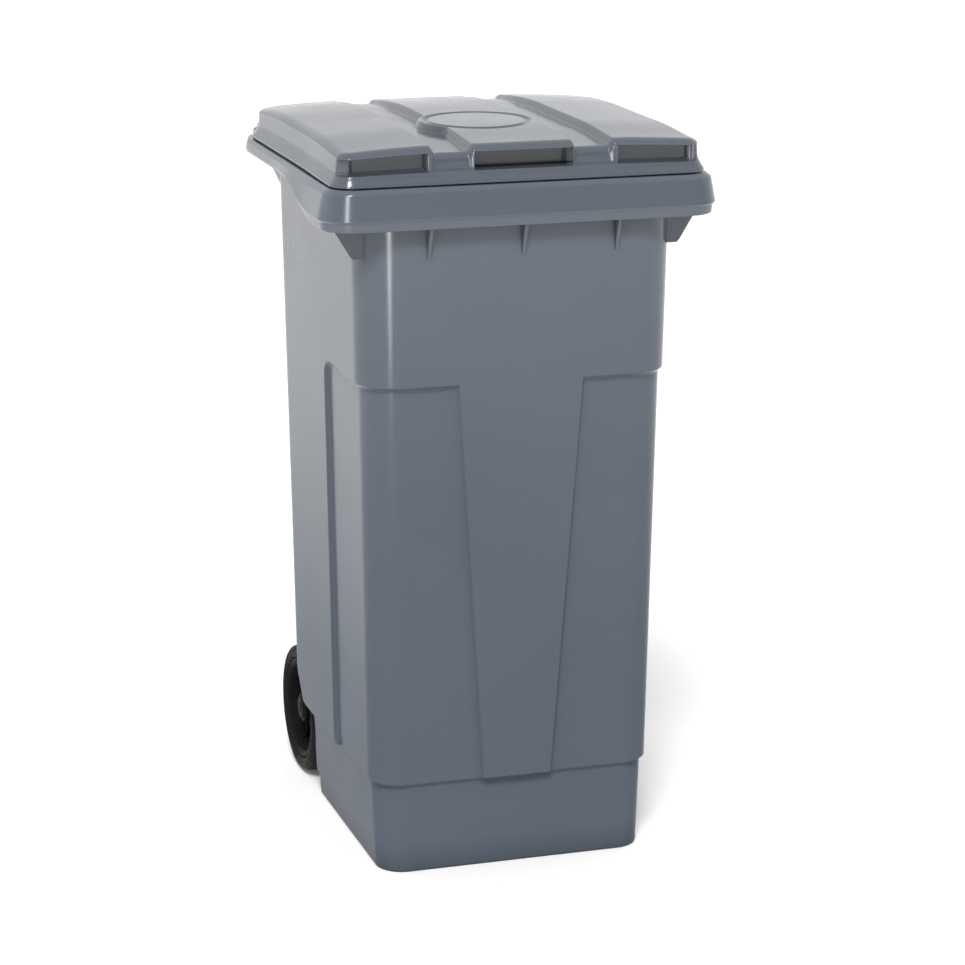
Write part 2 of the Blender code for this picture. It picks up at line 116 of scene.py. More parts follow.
def spread(low, high, count, last=True):
    """Evenly spaced numbers from low to high."""
    steps = count - 1 if last else count
    return [lerp(low, high, i / steps) for i in range(count)]


def rounded(corners, closed=False, steps=4):
    """Points of a polyline of (a, b, radius), with an arc at each corner that has a radius."""
    points = []
    count = len(corners)
    for i, (a, b, radius) in enumerate(corners):
        if radius == 0 or (not closed and i in (0, count - 1)):
            points.append((a, b))
            continue
        here = Vector((a, b))
        back = Vector(corners[i - 1][:2]) - here
        ahead = Vector(corners[(i + 1) % count][:2]) - here
        half = back.angle(ahead) / 2
        reach = radius / max(math.tan(half), 0.02)
        reach = max(min(reach, back.length * 0.48, ahead.length * 0.48), 0.00005)
        start = here + back.normalized() * reach
        end = here + ahead.normalized() * reach
        for k in range(steps + 1):
            t = k / steps
            points.append(tuple(start * (1 - t) ** 2 + here * 2 * t * (1 - t) + end * t * t))
    return points


# ---- meshes ---------------------------------------------------------------------------------
def new_object(name, bm, material=None):
    bmesh.ops.recalc_face_normals(bm, faces=bm.faces)
    mesh = bpy.data.meshes.new(name)
    bm.to_mesh(mesh)
    bm.free()
    obj = bpy.data.objects.new(name, mesh)
    bpy.context.scene.collection.objects.link(obj)
    if material:
        mesh.materials.append(material)
    return obj


def bake(obj):
    """Turn an object's modifiers into its mesh."""
    graph = bpy.context.evaluated_depsgraph_get()
    fresh = bpy.data.meshes.new_from_object(obj.evaluated_get(graph))
    obj.modifiers.clear()
    old = obj.data
    obj.data = fresh
    bpy.data.meshes.remove(old)


def carve(obj, tools, operation="DIFFERENCE"):
    """Cut tools from an object, or add them to it, and drop them."""
    for tool in tools:
        mod = obj.modifiers.new("carve", "BOOLEAN")
        mod.operation = operation
        mod.solver = "EXACT"
        mod.object = tool
    bake(obj)
    for tool in tools:
        bpy.data.objects.remove(tool, do_unlink=True)


def finish_mesh(obj, material, angle=35):
    obj.data.materials.clear()
    obj.data.materials.append(material)
    for face in obj.data.polygons:
        face.material_index = 0
    obj.data.shade_smooth()
    obj.data.set_sharp_from_angle(angle=math.radians(angle))
    weighted = obj.modifiers.new("weighted_normals", "WEIGHTED_NORMAL")
    weighted.keep_sharp = True


def loft(rings, cap_low=True, cap_high=True):
    """Quads through rings of equal length."""
    bm = bmesh.new()
    rows = [[bm.verts.new(p) for p in ring] for ring in rings]
    count = len(rows[0])
    for low, high in zip(rows, rows[1:]):
        for i in range(count):
            j = (i + 1) % count
            bm.faces.new((low[i], low[j], high[j], high[i]))
    if cap_low:
        bm.faces.new(list(reversed(rows[0])))
    if cap_high:
        bm.faces.new(rows[-1])
    return bm


def bevel(obj, width, segments=2, angle=30):
    mod = obj.modifiers.new("bevel", "BEVEL")
    mod.width = width
    mod.segments = segments
    mod.limit_method = "ANGLE"
    mod.angle_limit = math.radians(angle)
    mod.use_clamp_overlap = True
    bake(obj)


def prism(name, points, x_low, x_high, edge=0.0012):
    """A side-view outline of (y, z) points, extruded across the bin, its edges rounded."""
    obj = new_object(name, loft([[(x, y, z) for y, z in points] for x in (x_low, x_high)]))
    if edge:
        bevel(obj, edge)
    return obj


def plate(name, points, y_low, y_high, edge=0.0):
    """A front-view outline of (x, z) points, extruded along the bin."""
    obj = new_object(name, loft([[(x, y, z) for x, z in points] for y in (y_low, y_high)]))
    if edge:
        bevel(obj, edge)
    return obj


def rod(name, radius, x_low, x_high, y, z, segments=48):
    bm = bmesh.new()
    shift = Matrix.Translation(((x_low + x_high) / 2, y, z)) @ Matrix.Rotation(math.pi / 2, 4, "Y")
    bmesh.ops.create_cone(bm, cap_ends=True, segments=segments, radius1=radius, radius2=radius,
                          depth=x_high - x_low, matrix=shift)
    return new_object(name, bm)


def turned(name, corners, side, y, z, steps=64, closed=True):
    """A piece turned about an axis along X from a profile of (radius, x, rounding).

    A profile that ends on the axis at both ends is left open there, and closes by turning.
    """
    profile = rounded(corners, closed=closed, steps=3)
    bm = bmesh.new()
    rings = []
    for radius, x in profile:
        if radius < 1e-6:
            rings.append([bm.verts.new((side * x, y, z))])
        else:
            rings.append([bm.verts.new((side * x, y + radius * math.cos(2 * math.pi * k / steps),
                                        z + radius * math.sin(2 * math.pi * k / steps)))
                          for k in range(steps)])
    pairs = list(zip(rings, rings[1:]))
    if closed:
        pairs.append((rings[-1], rings[0]))
    for a, b in pairs:
        for k in range(steps):
            j = (k + 1) % steps
            if len(a) == 1 and len(b) == 1:
                continue
            if len(a) == 1:
                bm.faces.new((a[0], b[k], b[j]))
            elif len(b) == 1:
                bm.faces.new((a[k], b[0], a[j]))
            else:
                bm.faces.new((a[k], b[k], b[j], a[j]))
    return new_object(name, bm)


def ordered(side, low, high):
    return (low, high) if side > 0 else (-high, -low)


def arc(y, z, radius, start, end, steps=24):
    angles = [math.radians(lerp(start, end, i / steps)) for i in range(steps + 1)]
    return [(y + radius * math.cos(a), z + radius * math.sin(a)) for a in angles]


# ---- materials ------------------------------------------------------------------------------
class Nodes:
    """A small wrapper that keeps the node code readable."""

    def __init__(self, name):
        self.material = bpy.data.materials.new(name)
        self.material.use_nodes = True
        self.tree = self.material.node_tree
        self.shader = self.tree.nodes["Principled BSDF"]
        self.coordinates = self.tree.nodes.new("ShaderNodeTexCoord").outputs["Object"]

    def add(self, kind, **inputs):
        node = self.tree.nodes.new("ShaderNode" + kind)
        for key, value in inputs.items():
            socket = node.inputs[key.replace("_", " ")]
            if isinstance(value, bpy.types.NodeSocket):
                self.tree.links.new(value, socket)
            else:
                socket.default_value = value
        return node

    def noise(self, scale, detail=3.0, roughness=0.5, vector=None):
        node = self.add("TexNoise", Scale=scale, Detail=detail, Roughness=roughness,
                        Vector=vector or self.coordinates)
        return node.outputs["Fac"]

    def stretched(self, x, y, z):
        return self.add("Mapping", Vector=self.coordinates, Scale=(x, y, z)).outputs["Vector"]

    def span(self, value, low, high, to_low, to_high):
        node = self.tree.nodes.new("ShaderNodeMapRange")
        self.tree.links.new(value, node.inputs["Value"])
        for key, number in (("From Min", low), ("From Max", high), ("To Min", to_low), ("To Max", to_high)):
            node.inputs[key].default_value = number
        return node.outputs["Result"]

    def mix(self, factor, a, b):
        node = self.tree.nodes.new("ShaderNodeMix")
        node.data_type = "RGBA"
        for key, value in (("Factor", factor), ("A", a), ("B", b)):
            socket = [s for s in node.inputs if s.name == key and s.enabled][0]
            if isinstance(value, bpy.types.NodeSocket):
                self.tree.links.new(value, socket)
            elif key == "Factor":
                socket.default_value = value
            else:
                socket.default_value = (*value, 1.0)
        return [s for s in node.outputs if s.enabled][0]

    def bump(self, height, distance, strength=1.0, under=None):
        node = self.add("Bump", Height=height, Distance=distance, Strength=strength)
        if under:
            self.tree.links.new(under, node.inputs["Normal"])
        return node.outputs["Normal"]

    def wire(self, socket, value):
        self.tree.links.new(value, self.shader.inputs[socket])


def moulded_plastic(name, colour, dusty, low_rough, high_rough, peel=0.00003):
    """Moulded plastic: faint flow clouds, fine specks and hair scuffs, painted shade darkening its corners,
    creases and recesses, and a surface that is more worn, so less glossy, towards the ground."""
    n = Nodes(name)
    clouds = n.span(n.noise(3.5, 3.0), 0.35, 0.65, 0.0, 1.0)
    shade = n.mix(clouds, colour, tuple(c * 0.95 for c in colour))
    flecks = n.span(n.noise(1400.0, 1.0, 0.5), 0.62, 0.78, 0.0, 0.05)
    shade = n.mix(flecks, shade, dusty)
    scuffs = n.span(n.noise(70.0, 6.0, 0.7, n.stretched(1.0, 1.0, 0.10)), 0.70, 0.80, 0.0, 0.10)
    shade = n.mix(scuffs, shade, dusty)
    # painted shade: the base colour is darkened where ambient occlusion is low, in corners, grooves, pockets
    # and under the collar
    occlusion = n.add("AmbientOcclusion", Distance=0.050)
    occlusion.samples = 4
    painted_shade = n.span(occlusion.outputs["AO"], 0.45, 0.95, 0.42, 0.0)
    n.wire("Base Color", n.mix(painted_shade, shade, tuple(c * 0.12 for c in colour)))
    height = n.span(n.add("SeparateXYZ", Vector=n.coordinates).outputs["Z"], 0.20, 1.0, 0.0, 1.0)
    worn = n.tree.nodes.new("ShaderNodeMath")
    worn.operation = "MULTIPLY"
    n.tree.links.new(height, worn.inputs[0])
    n.tree.links.new(height, worn.inputs[1])
    n.wire("Specular IOR Level", n.span(worn.outputs["Value"], 0.0, 1.0, 0.02, 0.66))
    n.wire("Roughness", n.span(n.noise(14.0, 4.0, 0.6), 0.3, 0.7, low_rough, high_rough))
    coarse = n.bump(n.noise(120.0, 2.0, 0.5), peel * 1.5, 0.15)
    n.wire("Normal", n.bump(n.noise(1300.0, 2.0, 0.5), peel, 0.10, coarse))
    n.shader.inputs["IOR"].default_value = 1.52
    return n.material


def rubber(name):
    n = Nodes(name)
    dust = n.span(n.noise(35.0, 5.0, 0.65), 0.45, 0.75, 0.0, 0.35)
    n.wire("Base Color", n.mix(dust, (0.006, 0.006, 0.0065), (0.014, 0.014, 0.014)))
    n.wire("Roughness", n.span(n.noise(90.0, 4.0), 0.3, 0.7, 0.50, 0.72))
    n.shader.inputs["Specular IOR Level"].default_value = 0.14
    n.wire("Normal", n.bump(n.noise(700.0, 3.0, 0.6), 0.00010, 0.6))
    return n.material


def zinc(name):
    n = Nodes(name)
    spangle = n.span(n.noise(180.0, 4.0, 0.7), 0.35, 0.7, 0.0, 1.0)
    n.wire("Base Color", n.mix(spangle, (0.42, 0.43, 0.44), (0.60, 0.61, 0.61)))
    n.wire("Roughness", n.span(n.noise(60.0, 4.0), 0.3, 0.7, 0.26, 0.44))
    n.wire("Normal", n.bump(n.noise(900.0, 2.0, 0.5, n.stretched(0.1, 1.0, 1.0)), 0.00003, 0.5))
    n.shader.inputs["Metallic"].default_value = 1.0
    return n.material


GREY_DUST = (0.19, 0.21, 0.24)
BODY_GREY = moulded_plastic("container_grey_polyethylene", (0.101, 0.121, 0.154), GREY_DUST, 0.16, 0.22)
LID_GREY = moulded_plastic("lid_grey_polyethylene", (0.092, 0.108, 0.136), GREY_DUST, 0.14, 0.20)
BLACK = moulded_plastic("black_polypropylene", (0.010, 0.010, 0.011), (0.03, 0.03, 0.032), 0.35, 0.50)
NYLON = moulded_plastic("natural_nylon", (0.62, 0.60, 0.54), (0.50, 0.48, 0.43), 0.40, 0.55)
RUBBER = rubber("solid_rubber")
ZINC = zinc("zinc_plated_steel")


# ---- container: where its skin runs ---------------------------------------------------------
def panel_half(z):
    return lerp(PANEL_BOTTOM, PANEL_TOP, clamp((z - BASE_TOP) / (RECESS_TOP - BASE_TOP)))


def skin(z):
    """Half width, front, rear and corner radii of the proud skin at a height."""
    t = (z - BASE_TOP) / (LEDGE - BASE_TOP)
    return (lerp(0.2178, 0.2330, t), lerp(-0.3080, -0.3180, t), lerp(0.164, 0.186, t),
            lerp(0.052, 0.062, t), lerp(0.042, 0.048, t))


def base(z):
    t = z / BASE_TOP
    return (lerp(0.2008, 0.2065, t), lerp(-0.2955, -0.2975, t), lerp(0.150, 0.158, t),
            lerp(0.040, 0.046, t), lerp(0.036, 0.040, t))


def columns(fine):
    """Places round the right half of the container, from the middle of the front to the rear.

    Each is a zone and how far along that zone it is; zones whose name ends in "edge" or "line" are
    measured in metres from the moulded line that they follow.
    """
    few = 1 if fine else 2
    made = [("panel", t) for t in spread(0, 1, 13, last=False)[::few]]
    made += [("panel_edge", d) for d in spread(-0.0045, 0.0095, 15)[::few]]
    made += [("front", t) for t in spread(0, 1, 11)[1:-1:few]]
    made += [("front_corner", t) for t in spread(0, 1, 21)[::few]]
    made += [("side", t) for t in spread(0, 1, 14, last=False)[1::few]]
    made += [("side_line", d) for d in spread(-0.042, 0.006, 31)[::few]]
    made += [("side_rear", t) for t in spread(0, 1, 15)[1:-1:few]]
    made += [("rear_corner", t) for t in spread(0, 1, 15)[::few]]
    made += [("rear", t) for t in spread(0, 1, 9)[1:]]
    return made


PANEL_MARGIN = (-0.0045, 0.0095)
LINE_MARGIN = (-0.042, 0.006)


def on_outline(column, spec, panel=PANEL_TOP):
    """Position and outward normal of a column on a rounded rectangle."""
    half, front, rear, r_front, r_rear = spec
    zone, t = column
    if zone == "panel":
        return t * (panel + PANEL_MARGIN[0]), front, 0.0, -1.0
    if zone == "panel_edge":
        return panel + t, front, 0.0, -1.0
    if zone == "front":
        return lerp(panel + PANEL_MARGIN[1], half - r_front, t), front, 0.0, -1.0
    if zone == "front_corner":
        nx, ny = math.sin(t * math.pi / 2), -math.cos(t * math.pi / 2)
        return half - r_front + r_front * nx, front + r_front + r_front * ny, nx, ny
    if zone == "side":
        return half, lerp(front + r_front, SIDE_LINE + LINE_MARGIN[0], t), 1.0, 0.0
    if zone == "side_line":
        return half, SIDE_LINE + t, 1.0, 0.0
    if zone == "side_rear":
        return half, lerp(SIDE_LINE + LINE_MARGIN[1], rear - r_rear, t), 1.0, 0.0
    if zone == "rear_corner":
        nx, ny = math.cos(t * math.pi / 2), math.sin(t * math.pi / 2)
        return half - r_rear + r_rear * nx, rear - r_rear + r_rear * ny, nx, ny
    return lerp(half - r_rear, 0.0, t), rear, 0.0, 1.0


TOP_CORNER = 0.030            # rounding of the field's upper rear corner
FOOT_CORNER = 0.014           # and of its lower rear corner


def field_depth(column, x, y, z):
    """How far the skin is set in at a place: the field runs from the panel to the side line."""
    zone = column[0]
    below = RECESS_TOP - z
    from_panel = x - panel_half(z) if zone in ("panel", "panel_edge", "front") else 1.0
    from_line = SIDE_LINE - y
    up = z - BASE_TOP - 0.002
    if up < FOOT_CORNER:
        from_line -= FOOT_CORNER - math.sqrt(max(FOOT_CORNER ** 2 - (FOOT_CORNER - max(up, 0.0)) ** 2, 0.0))
    if from_line < TOP_CORNER and below < TOP_CORNER:
        inside = TOP_CORNER - math.hypot(TOP_CORNER - from_line, TOP_CORNER - below)
    else:
        inside = min(from_line, below)
    return RECESS * smooth(min(inside, from_panel) / EDGE)


def wall_point(column, z, inward=0.0):
    """A point of the container's wall, or of its inner face when inward is the wall thickness."""
    share = smooth((z - BASE_TOP + 0.0025) / 0.0055)
    low = on_outline(column, base(z), PANEL_BOTTOM)
    high = on_outline(column, skin(z), panel_half(z))
    depth = field_depth(column, high[0], high[1], z) * share + inward
    return (lerp(low[0], high[0], share) - high[2] * depth,
            lerp(low[1], high[1], share) - high[3] * depth, z)


def both_sides(make, places):
    """A closed ring: the right half in order, then its mirror image back to the front."""
    right = [make(place) for place in places]
    left = [(-x, y, z) for x, y, z in reversed(right[1:-1])]
    return right + left


def lip_height(y):
    return lerp(LIP_FRONT, LIP_REAR, smooth((y + 0.245) / 0.150))


# collar section: (outward from the lid's rim line, height at the front, rounding)
COLLAR = (
    (0.0122, LEDGE, 0.0),
    (0.0114, LIP_FRONT, 0.0010),
    (0.0156, LIP_FRONT, 0.0016),
    (0.0172, 0.9650, 0.0012),
    (0.0210, 0.9685, 0.0016),
    (0.0138, FACE_TOP, 0.0040),
    (0.0055, RIM, 0.0030),
    (-0.0080, RIM, 0.0010),
    (-0.0080, BEAD, 0.0012),
    (-0.0140, BEAD, 0.0012),
    (-0.0150, 1.0040, 0.0),
)
COLLAR_LINE = (LID_HALF, LID_FRONT, LID_REAR, LID_CORNER, LID_REAR_CORNER)
FRONT_REACH = 0.7             # the collar stands out less in front than at the sides
REAR_REACH = 0.011 / 0.021


def collar_point(column, out, height):
    """A point of the collar; from the middle of the side on it stands out less than in front."""
    x, y, nx, ny = on_outline(column, COLLAR_LINE)
    if out > 0:
        out = lerp(out, 0.0055 + (out - 0.0110) * 0.25, smooth((y + 0.20) / 0.22))
    reach = FRONT_REACH if ny < 0 else REAR_REACH
    x, y = x + nx * out, y + ny * out * reach
    if height <= FACE_TOP:
        share = (height - LIP_FRONT) / (FACE_TOP - LIP_FRONT)
        return x, y, lerp(lip_height(y), FACE_TOP, share)
    return x, y, height


def ledge_point(column):
    x, y, _, _ = on_outline(column, skin(LEDGE))
    return x, y, max(LEDGE, lip_height(y) + 0.004)


def wall_heights():
    """Rows up the wall, close together at the base step and round the field's top."""
    rows = [0.004, 0.012, 0.030, 0.055, 0.080, 0.105, 0.120, 0.128]
    rows += spread(0.1310, 0.1390, 9)
    rows += [0.1415, 0.1445, 0.148, 0.152, 0.158, 0.168, 0.185, 0.210, 0.250]
    rows += spread(0.290, 0.640, 9) + [0.665, 0.680, 0.690]
    rows += spread(0.696, 0.7305, 24)
    rows += [0.736, 0.748, 0.770, 0.800, 0.840, 0.880, 0.920, 0.950, 0.970]
    return rows


def container_outside():
    places = columns(True)
    rings = [both_sides(lambda c, i=inset, h=z: (*wall_point(c, 0.0, i)[:2], h), places)
             for z, inset in ((0.0, 0.0030), (0.0004, 0.0018), (0.0014, 0.0007), (0.0027, 0.0001))]
    rings += [both_sides(lambda c, h=z: wall_point(c, h), places) for z in wall_heights()]
    rings.append(both_sides(ledge_point, places))
    for out, height in rounded(COLLAR):
        rings.append(both_sides(lambda c, o=out, h=height: collar_point(c, o, h), places))
    rings.append(both_sides(lambda c: collar_point(c, -0.0152, 1.0065), places))
    return new_object("container_shell", loft(rings[:-2]))


def container_inside():
    """The space inside, as a cutter."""
    places = columns(False)
    rings = [both_sides(lambda c, i=inset, h=z: (*wall_point(c, 0.0, WALL + i)[:2], h), places)
             for z, inset in ((FLOOR, 0.0060), (FLOOR + 0.0018, 0.0018), (FLOOR + 0.006, 0.0))]
    for z in wall_heights()[2:-1:2] + [0.970, LIP_REAR + 0.0075]:
        rings.append(both_sides(lambda c, h=z: wall_point(c, h, WALL), places))
    for out, z in ((-0.0160, 1.0055), (-0.0150, BEAD + 0.020)):
        rings.append(both_sides(lambda c, o=out, h=z: (*collar_point(c, o, RIM)[:2], h), places))
    return new_object("cut_inside", loft(rings))


ARCH = ((0.057, -0.020, 0), (0.057, 0.030, 0.006), (0.0765, 0.034, 0.010), (0.0765, 0.1365, 0.004),
        (0.098, 0.1405, 0.006), (0.130, 0.185, 0.010), (0.146, 0.206, 0.010), (0.166, 0.2205, 0.010),
        (0.400, 0.2225, 0), (0.400, -0.020, 0))
ARCH_INSIDE = ((0.052, -0.020, 0), (0.052, 0.036, 0.006), (0.0715, 0.040, 0.010), (0.0715, 0.139, 0.004),
               (0.094, 0.144, 0.006), (0.126, 0.188, 0.010), (0.142, 0.2095, 0.010),
               (0.164, 0.2265, 0.010), (0.400, 0.2285, 0), (0.400, -0.020, 0))


def axle_lugs():
    points = [(0.070, 0.045), (0.070, 0.132)] + list(reversed(arc(WHEEL_Y, 0.100, 0.022, -80, 80)))
    return [prism("axle_lug", points, x - 0.005, x + 0.005, 0.0010) for x in AXLE_LUGS]


def handle_lugs():
    points = [(0.1845, 0.935), (0.1845, 0.9955), (0.222, 1.004), (0.262, 1.004)]
    points += list(reversed(arc(HINGE_Y, HINGE_Z, 0.020, -90, 90)))
    points += [(0.250, 0.958)]
    made = []
    for side in (-1, 1):
        for span in (OUTER_LUG, INNER_LUG):
            made.append(prism("handle_lug", points, *ordered(side, *span), 0.0016))
    return made


def collar_ribs():
    wall = skin(LEDGE)[1] + RECESS
    rib = ((wall, 0.908), (wall, 0.990), (FRONT + 0.0065, 0.990), (FRONT + 0.0065, 0.9575),
           (skin(0.93)[1] - 0.001, 0.908))
    made = [prism("rib", rib, x - 0.0025, x + 0.0025, 0.0006) for x in (-0.137, 0.0, 0.137)]
    gusset = [(0.222, 0.990), (0.2795, 0.990), (0.2690, 0.9560), (0.2420, 0.9120), (0.2380, 0.9080),
              (0.222, 0.9080)]
    for side in (-1, 1):
        made.append(plate("gusset", [(side * x, z) for x, z in gusset], -0.289, -0.285, 0.0006))
    return made


def join(objects):
    """Put several objects' meshes into the first one."""
    bm = bmesh.new()
    for obj in objects:
        bm.from_mesh(obj.data)
    first = objects[0]
    bm.to_mesh(first.data)
    bm.free()
    for obj in objects[1:]:
        bpy.data.objects.remove(obj, do_unlink=True)
    return first


def container_shell():
    outside = container_outside()
    inside = container_inside()
    keep = [prism("keep_arch", rounded(ARCH_INSIDE, closed=True), -0.4, 0.4, 0)]
    cuts = [prism("cut_arch", rounded(ARCH, closed=True), -0.4, 0.4, 0)]
    for side in (-1, 1):
        keep.append(rod("keep_well", WELL_R + WALL, *ordered(side, 0.143, 0.30), WHEEL_Y, WHEEL_R, 64))
        cuts.append(rod("cut_well", WELL_R, *ordered(side, 0.147, 0.2098), WHEEL_Y, WHEEL_R, 64))
    carve(inside, keep)
    carve(outside, cuts + [inside])
    grip = turned("grip", [(0.0, 0.132, 0), (0.014, 0.132, 0), (0.014, -0.132, 0), (0.0, -0.132, 0)],
                  1, HINGE_Y, HINGE_Z, closed=False)
    handle = handle_lugs()
    carve(handle[1], [handle[3], grip], "UNION")
    rest = [join([handle[1], handle[0], handle[2]])]
    holes = [rod("pin_hole", PIN_R + GAP, *ordered(side, INNER_LUG[0] + 0.001, 0.30), HINGE_Y, HINGE_Z, 32)
             for side in (-1, 1)]
    carve(rest[0], holes)
    lugs = join(axle_lugs())
    carve(lugs, [rod("axle_bore", AXLE_R + GAP, -0.15, 0.15, WHEEL_Y, WHEEL_R)])
    carve(outside, [join(rest + [lugs] + collar_ribs())], "UNION")
    nest = turned("chip_nest", [(0.0, 0.02, 0), (CHIP_R + GAP, 0.02, 0), (CHIP_R + GAP, -0.02, 0),
                                (0.0, -0.02, 0)], 1, 0.0, 0.0, closed=False, steps=48)
    upright = Matrix.Rotation(math.pi / 2, 4, "Y")
    nest.data.transform(Matrix.Translation((CHIP_X, CHIP_Y, LEDGE - 0.008)) @ upright)
    carve(outside, [nest])
    finish_mesh(outside, BODY_GREY)
    return outside


# ---- lid ------------------------------------------------------------------------------------
def crown(y):
    """Height of the middle of the lid's top along the bin."""
    front_rise = smooth((y - LID_FRONT) / 0.16)
    return CROWN - CROWN_FRONT_FALL * (1 - front_rise) - CROWN_REAR_FALL * (max(y, 0.0) / LID_REAR) ** 2


def camber(x):
    """How much the lid's top falls away towards its sides."""
    return 0.0060 * clamp((abs(x) - 0.13) / 0.12) ** 1.5


def ramp(value, edge, width):
    """0 below an edge, 1 above it, over a width centred on it."""
    return smooth((value - edge) / width + 0.5)


BOSS = (-0.010, -0.128, 0.086)         # a round boss on the middle panel: centre and radius
RING = (0.075, 0.0042, 0.0036)        # a plain engraved ring in it: radius, half width, depth
GROOVE_SIDE = 0.0085                  # width of a groove's sloping side


def widen(x, y):
    """The lid is a little wider across its front corners."""
    return x * (1 + 0.012 * smooth((-0.10 - y) / 0.18))


def groove_depth(y):
    """The grooves get shallower over the lid's rear third."""
    return GROOVE_DEEP * (1 - 0.45 * smooth((y - 0.05) / 0.13))


def groove_share(x, y):
    """1 on the floor of a groove, 0 on a panel or on the boss."""
    across = abs(x)
    share = ramp(across, GROOVE_IN, GROOVE_SIDE) * (1 - ramp(across, GROOVE_OUT, GROOVE_SIDE))
    away = math.hypot(x - BOSS[0], y - BOSS[1])
    return share * ramp(away, BOSS[2], GROOVE_SIDE * 0.7)


def lid_height(x, y):
    """The lid's top, with its grooves and the ring engraved in the boss."""
    away = math.hypot(x - BOSS[0], y - BOSS[1])
    ring = smooth(1 - abs(away - RING[0]) / (RING[1] * 1.6))
    return crown(y) - camber(x) - groove_depth(y) * groove_share(x, y) - RING[2] * ring


def lid_lines(fine):
    """Lines of the grid on the lid's top, along X for one half, and along Y."""
    half = LID_HALF - LID_TOP_IN
    front = LID_FRONT + LID_TOP_IN
    rear = LID_REAR - 1.6 * LID_TOP_IN
    tight, wide = LID_CORNER - LID_TOP_IN, LID_REAR_CORNER - LID_TOP_IN
    if not fine:
        xs = spread(0, half - wide, 12) + spread(half - wide, half - tight, 6)[1:]
        xs += spread(half - tight, half, 4)[1:]
        ys = spread(front, front + tight, 4) + spread(front + tight, rear - wide, 18)[1:]
        ys += spread(rear - wide, rear, 8)[1:]
    else:
        xs = spread(0, 0.0660, 34) + spread(0.0675, 0.0805, 14) + spread(0.0820, 0.1020, 11)
        xs += spread(0.1060, 0.1205, 4) + spread(0.1225, 0.1335, 12) + [0.1350]
        xs += spread(0.1362, 0.1395, 4) + [0.1420, 0.1470] + spread(0.155, half - wide, 7)
        xs += spread(half - wide, half - tight, 10)[1:] + spread(half - tight, half, 8)[1:]
        ys = spread(front, front + tight, 8) + spread(front + tight, -0.223, 9)[1:]
        ys += spread(-0.223, -0.033, 96)[1:] + spread(-0.033, rear - wide, 16)[1:]
        ys += spread(rear - wide, rear, 14)[1:]
    return xs, ys, half, front, rear


def bend_corner(x, y, half, front, rear):
    """Move a point of the square grid so that the grid's outer corners are round.

    Also gives the outward normal that a point on the boundary has.
    """
    side = 1 if x >= 0 else -1
    end = -1 if y < (front + rear) / 2 else 1
    radius = (LID_REAR_CORNER if end > 0 else LID_CORNER) - LID_TOP_IN
    a = (abs(x) - (half - radius)) / radius
    b = (y - (rear - radius)) / radius if end > 0 else ((front + radius) - y) / radius
    if a > 0 and b > 0:
        bent_a = a * math.sqrt(1 - b * b / 2)
        bent_b = b * math.sqrt(1 - a * a / 2)
        far = math.hypot(bent_a, bent_b)
        normal = (side * bent_a / far, end * bent_b / far)
        return side * (half - radius + radius * bent_a), \
            (rear - radius + radius * bent_b if end > 0 else front + radius - radius * bent_b), normal
    if b > a:
        return x, y, (0.0, float(end))
    return x, y, (float(side), 0.0)


MIDDLE_POCKET = 0.069
SIDE_POCKET = 0.137


def pocket_share(x, normal):
    """How much of the front edge's grip pockets a column takes part in, and how deep they go."""
    if normal[1] > -0.02:
        return 0.0, 0.0
    turn = math.degrees(math.atan2(abs(normal[0]), -normal[1]))
    middle = 1 - ramp(abs(x), MIDDLE_POCKET, 0.0022)
    side = ramp(abs(x), SIDE_POCKET, 0.0022) * (1 - smooth((turn - 60) / 26))
    back = 0.0345 if middle > side else lerp(0.0250, 0.0150, smooth(turn / 40))
    return max(middle, side), back


def lid_profile(x, y, normal, top, top_plain):
    """Section down the lid's edge at one column: (inward from the rim line, height)."""
    groove = clamp((top_plain - top) / GROOVE_DEEP)
    pocket, back = pocket_share(x, normal)
    scale = (top_plain - LID_RIM) / (crown(LID_FRONT) - LID_RIM)

    def high(z):
        return LID_RIM + (z - LID_RIM) * scale

    def wall(z):
        plain = lerp(0.0052, 0.0098, smooth((z - 1.0180) / 0.0230))
        return lerp(plain, lerp(0.0070, 0.0150, (z - 1.0215) / 0.0400), groove)

    part = 0.0030 * (1 - pocket)
    drop = 0.0100 * groove
    brow = high(1.0556 - drop)
    ceiling = high(1.0548 + part * 0.2 - drop)
    corners = [(LID_TOP_IN, top, 0)]
    steep = math.radians(lerp(74, 38, pocket))
    for k in range(1, 9):
        angle = steep * k / 8
        corners.append((lerp(LID_TOP_IN, wall(1.0556), math.sin(angle) / math.sin(steep)),
                        lerp(top, brow, (1 - math.cos(angle)) / (1 - math.cos(steep))), 0))
    corners += [
        (wall(1.0545), ceiling - 0.0008, 0.0008),
        (lerp(wall(1.0520), back, pocket), high(1.0540 - part - drop), 0.0030),
        (lerp(wall(1.0330), back, pocket), high(1.0300 + part), 0.0034),
        (lerp(wall(1.0290), 0.0070, pocket), high(1.0290), 0.0016),
        (0.0040, high(1.0222), 0.0050),
        (0.0002, high(1.0160), 0.0022),
        (0.0, LID_RIM, 0.0006),
        (0.0040, LID_RIM, 0),
    ]
    return rounded(corners)


